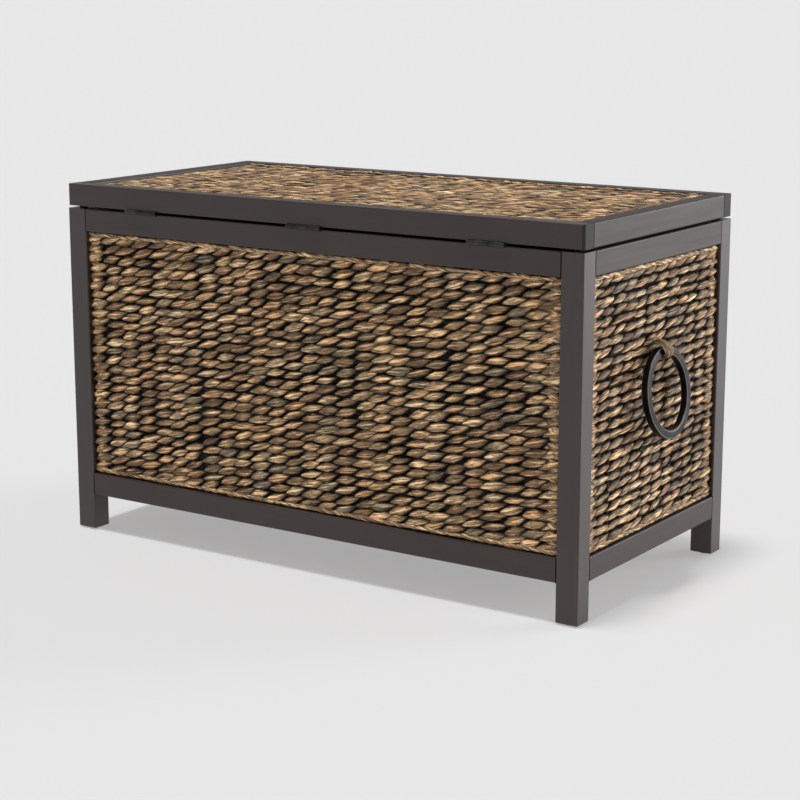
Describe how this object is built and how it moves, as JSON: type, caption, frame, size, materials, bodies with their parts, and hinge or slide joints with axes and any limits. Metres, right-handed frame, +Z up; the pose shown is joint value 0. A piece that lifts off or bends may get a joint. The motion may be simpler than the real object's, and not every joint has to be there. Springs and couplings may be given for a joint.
{
  "type": "wicker storage trunk",
  "caption": "Rectangular storage trunk with a dark timber frame on short legs, woven fibre panels, a hinged lid on slotted stays and a ring handle on each end.",
  "frame": {"origin": "on the floor under the middle of the box", "axes": "+Z up, the front faces -Y, the lid is hinged along the +Y side, +X is to the right seen from the front"},
  "size_m": [0.8916, 0.4197, 0.508],
  "materials": {
    "frame_timber": "espresso stain, satin lacquer",
    "stained_board": "espresso stain, matt",
    "woven_fibre": "twisted water hyacinth and banana fibre, dry and natural",
    "fibre_loop": "twisted fibre cord",
    "rattan_stake": "peeled rattan",
    "bare_timber": "planed, unfinished",
    "blackened_iron": "blackened, satin, edges rubbed bright",
    "dark_hinge_metal": "dark bronze, satin",
    "bright_steel": "zinc plated",
    "foot_nylon": "moulded nylon, matt",
    "bumper_felt": "pressed felt"
  },
  "bodies": {
    "box": {"post_front_left": "frame_timber", "post_front_right": "frame_timber", "post_back_left": "frame_timber", "post_back_right": "frame_timber", "top_rail_front": "frame_timber", "top_rail_back": "frame_timber", "top_rail_left": "frame_timber", "top_rail_right": "frame_timber", "bottom_rail_front": "frame_timber", "bottom_rail_back": "frame_timber", "bottom_rail_left": "frame_timber", "bottom_rail_right": "frame_timber", "woven_panel_front": "woven_fibre", "woven_panel_back": "woven_fibre", "woven_panel_left": "woven_fibre", "woven_panel_right": "woven_fibre", "panel_stakes": "rattan_stake", "bottom_board": "stained_board", "cleat_front": "bare_timber", "cleat_back": "bare_timber", "cleat_left": "bare_timber", "cleat_right": "bare_timber", "cleat_screws": "bright_steel", "frame_dowels": "bare_timber", "foot_glides": "foot_nylon", "hinge_leaves_box": "dark_hinge_metal", "hinge_pins": "dark_hinge_metal", "hinge_screws_box": "dark_hinge_metal", "ring_loop_left": "fibre_loop", "ring_loop_right": "fibre_loop", "stay_stud_left": "bright_steel", "stay_stud_right": "bright_steel"},
    "lid": {"lid_rail_front": "frame_timber", "lid_rail_back": "frame_timber", "lid_rail_left": "frame_timber", "lid_rail_right": "frame_timber", "lid_board": "stained_board", "lid_woven_panel": "woven_fibre", "lid_stakes": "rattan_stake", "lid_dowels": "bare_timber", "lid_bumpers": "bumper_felt", "hinge_leaves_lid": "dark_hinge_metal", "hinge_screws_lid": "dark_hinge_metal", "stay_bracket_left": "bright_steel", "stay_bracket_right": "bright_steel", "stay_bracket_screws": "bright_steel"},
    "ring_left": {"ring_handle_left": "blackened_iron"},
    "ring_right": {"ring_handle_right": "blackened_iron"},
    "stay_left": {"stay_arm_left": "bright_steel"},
    "stay_right": {"stay_arm_right": "bright_steel"}
  },
  "joints": [
    {"name": "lid_hinge", "type": "hinge", "parent": "box", "child": "lid", "pos_m": [0, 0.209, 0.47525], "axis": [-1, 0, 0], "range_deg": [0, 95]},
    {"name": "ring_left_swing", "type": "hinge", "parent": "box", "child": "ring_left", "pos_m": [-0.4245, 0, 0.323], "axis": [0, 1, 0], "range_deg": [-8, 157]},
    {"name": "ring_right_swing", "type": "hinge", "parent": "box", "child": "ring_right", "pos_m": [0.4245, 0, 0.323], "axis": [0, -1, 0], "range_deg": [-8, 157]},
    {"name": "stay_left_pivot", "type": "hinge", "parent": "lid", "child": "stay_left", "pos_m": [-0.3932, 0.024, 0.484], "axis": [-1, 0, 0], "range_deg": [-48, 0]},
    {"name": "stay_right_pivot", "type": "hinge", "parent": "lid", "child": "stay_right", "pos_m": [0.3932, 0.024, 0.484], "axis": [-1, 0, 0], "range_deg": [-48, 0]}
  ],
  "couplings": [
    {"joint": "stay_left_pivot", "follows": "lid_hinge", "ratio": -0.5},
    {"joint": "stay_right_pivot", "follows": "lid_hinge", "ratio": -0.5}
  ]
}
